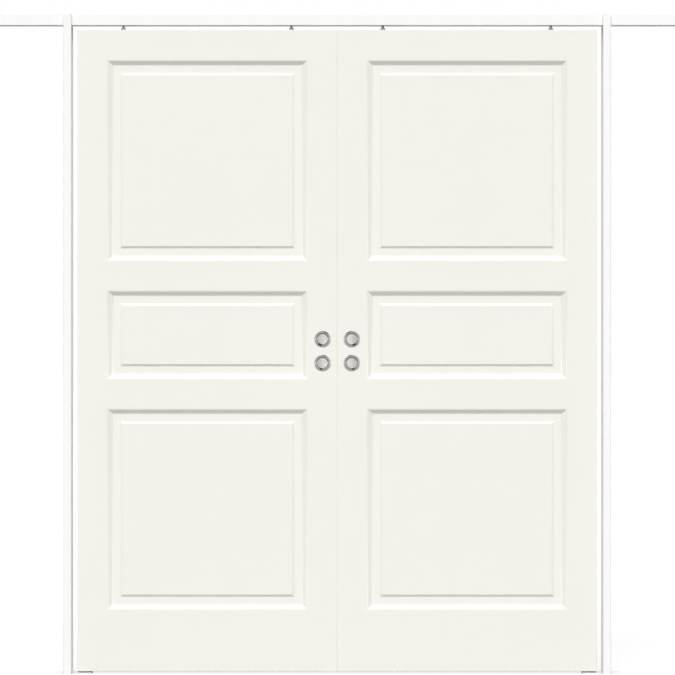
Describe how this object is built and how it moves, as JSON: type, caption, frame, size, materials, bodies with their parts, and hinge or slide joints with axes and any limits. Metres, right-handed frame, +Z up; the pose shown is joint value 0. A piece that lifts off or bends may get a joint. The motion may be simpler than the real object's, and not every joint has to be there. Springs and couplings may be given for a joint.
{
  "type": "double pocket door",
  "caption": "White panelled double pocket door with round finger pulls, hung on roller trolleys in an overhead track with its slim pocket frame.",
  "frame": {"origin": "on the floor, in the middle of the opening and of the frame's depth", "axes": "+Z up, +X along the opening to the right seen from the front, the front faces -Y"},
  "size_m": [3.235, 0.09, 2.096],
  "materials": {
    "white_lacquer": "satin",
    "lacquered_timber": "satin",
    "paper_honeycomb": "matte",
    "stainless_steel": "satin",
    "zinc_plated_steel": "satin",
    "white_coated_steel": "satin",
    "white_coated_screws": "satin",
    "white_coated_aluminium": "satin",
    "white_nylon": "satin",
    "black_rubber": "matte"
  },
  "bodies": {
    "frame": {"track": "white_coated_aluminium", "track_stops": "zinc_plated_steel", "stop_buffers": "black_rubber", "stud_screws": "white_coated_screws", "seat_screws": "zinc_plated_steel", "left_end_post": "white_coated_steel", "left_floor_guide": "white_nylon", "left_front_mouth_stud": "white_coated_steel", "left_rear_mouth_stud": "white_coated_steel", "left_front_mid_stud": "white_coated_steel", "left_rear_mid_stud": "white_coated_steel", "right_end_post": "white_coated_steel", "right_floor_guide": "white_nylon", "right_front_mouth_stud": "white_coated_steel", "right_rear_mouth_stud": "white_coated_steel", "right_front_mid_stud": "white_coated_steel", "right_rear_mid_stud": "white_coated_steel"},
    "left_leaf": {"left_front_skin": "white_lacquer", "left_rear_skin": "white_lacquer", "left_meeting_stile": "lacquered_timber", "left_outer_stile": "lacquered_timber", "left_top_rail": "lacquered_timber", "left_bottom_rail": "lacquered_timber", "left_core": "paper_honeycomb", "left_hanger_bolts": "zinc_plated_steel", "left_plate_screws": "zinc_plated_steel", "left_front_upper_pull": "stainless_steel", "left_rear_upper_pull": "stainless_steel", "left_front_lower_pull": "stainless_steel", "left_rear_lower_pull": "stainless_steel", "left_inner_hanger_plate": "zinc_plated_steel", "left_outer_hanger_plate": "zinc_plated_steel", "left_inner_trolley": "zinc_plated_steel", "left_outer_trolley": "zinc_plated_steel"},
    "left_inner_wheels_1": {"left_inner_wheels_1": "white_nylon"},
    "left_inner_wheels_2": {"left_inner_wheels_2": "white_nylon"},
    "left_outer_wheels_1": {"left_outer_wheels_1": "white_nylon"},
    "left_outer_wheels_2": {"left_outer_wheels_2": "white_nylon"},
    "right_leaf": {"right_front_skin": "white_lacquer", "right_rear_skin": "white_lacquer", "right_meeting_stile": "lacquered_timber", "right_outer_stile": "lacquered_timber", "right_top_rail": "lacquered_timber", "right_bottom_rail": "lacquered_timber", "right_core": "paper_honeycomb", "right_hanger_bolts": "zinc_plated_steel", "right_plate_screws": "zinc_plated_steel", "right_front_upper_pull": "stainless_steel", "right_rear_upper_pull": "stainless_steel", "right_front_lower_pull": "stainless_steel", "right_rear_lower_pull": "stainless_steel", "right_inner_hanger_plate": "zinc_plated_steel", "right_outer_hanger_plate": "zinc_plated_steel", "right_inner_trolley": "zinc_plated_steel", "right_outer_trolley": "zinc_plated_steel"},
    "right_inner_wheels_1": {"right_inner_wheels_1": "white_nylon"},
    "right_inner_wheels_2": {"right_inner_wheels_2": "white_nylon"},
    "right_outer_wheels_1": {"right_outer_wheels_1": "white_nylon"},
    "right_outer_wheels_2": {"right_outer_wheels_2": "white_nylon"}
  },
  "joints": [
    {"name": "left_leaf_slide", "type": "slide", "parent": "frame", "child": "left_leaf", "axis": [-1, 0, 0], "range_m": [0, 0.74]},
    {"name": "left_inner_wheels_1_spin", "type": "hinge", "parent": "left_leaf", "child": "left_inner_wheels_1", "pos_m": [-0.1235, 0, 2.0758], "axis": [0, 1, 0], "continuous": true},
    {"name": "left_inner_wheels_2_spin", "type": "hinge", "parent": "left_leaf", "child": "left_inner_wheels_2", "pos_m": [-0.1675, 0, 2.0758], "axis": [0, 1, 0], "continuous": true},
    {"name": "left_outer_wheels_1_spin", "type": "hinge", "parent": "left_leaf", "child": "left_outer_wheels_1", "pos_m": [-0.6585, 0, 2.0758], "axis": [0, 1, 0], "continuous": true},
    {"name": "left_outer_wheels_2_spin", "type": "hinge", "parent": "left_leaf", "child": "left_outer_wheels_2", "pos_m": [-0.7025, 0, 2.0758], "axis": [0, 1, 0], "continuous": true},
    {"name": "right_leaf_slide", "type": "slide", "parent": "frame", "child": "right_leaf", "axis": [1, 0, 0], "range_m": [0, 0.74]},
    {"name": "right_inner_wheels_1_spin", "type": "hinge", "parent": "right_leaf", "child": "right_inner_wheels_1", "pos_m": [0.1235, 0, 2.0758], "axis": [0, 1, 0], "continuous": true},
    {"name": "right_inner_wheels_2_spin", "type": "hinge", "parent": "right_leaf", "child": "right_inner_wheels_2", "pos_m": [0.1675, 0, 2.0758], "axis": [0, 1, 0], "continuous": true},
    {"name": "right_outer_wheels_1_spin", "type": "hinge", "parent": "right_leaf", "child": "right_outer_wheels_1", "pos_m": [0.6585, 0, 2.0758], "axis": [0, 1, 0], "continuous": true},
    {"name": "right_outer_wheels_2_spin", "type": "hinge", "parent": "right_leaf", "child": "right_outer_wheels_2", "pos_m": [0.7025, 0, 2.0758], "axis": [0, 1, 0], "continuous": true}
  ],
  "couplings": [
    {"joint": "left_inner_wheels_1_spin", "follows": "left_leaf_slide", "rad_per_m": -90.909},
    {"joint": "left_inner_wheels_2_spin", "follows": "left_leaf_slide", "rad_per_m": -90.909},
    {"joint": "left_outer_wheels_1_spin", "follows": "left_leaf_slide", "rad_per_m": -90.909},
    {"joint": "left_outer_wheels_2_spin", "follows": "left_leaf_slide", "rad_per_m": -90.909},
    {"joint": "right_inner_wheels_1_spin", "follows": "right_leaf_slide", "rad_per_m": 90.909},
    {"joint": "right_inner_wheels_2_spin", "follows": "right_leaf_slide", "rad_per_m": 90.909},
    {"joint": "right_outer_wheels_1_spin", "follows": "right_leaf_slide", "rad_per_m": 90.909},
    {"joint": "right_outer_wheels_2_spin", "follows": "right_leaf_slide", "rad_per_m": 90.909}
  ]
}
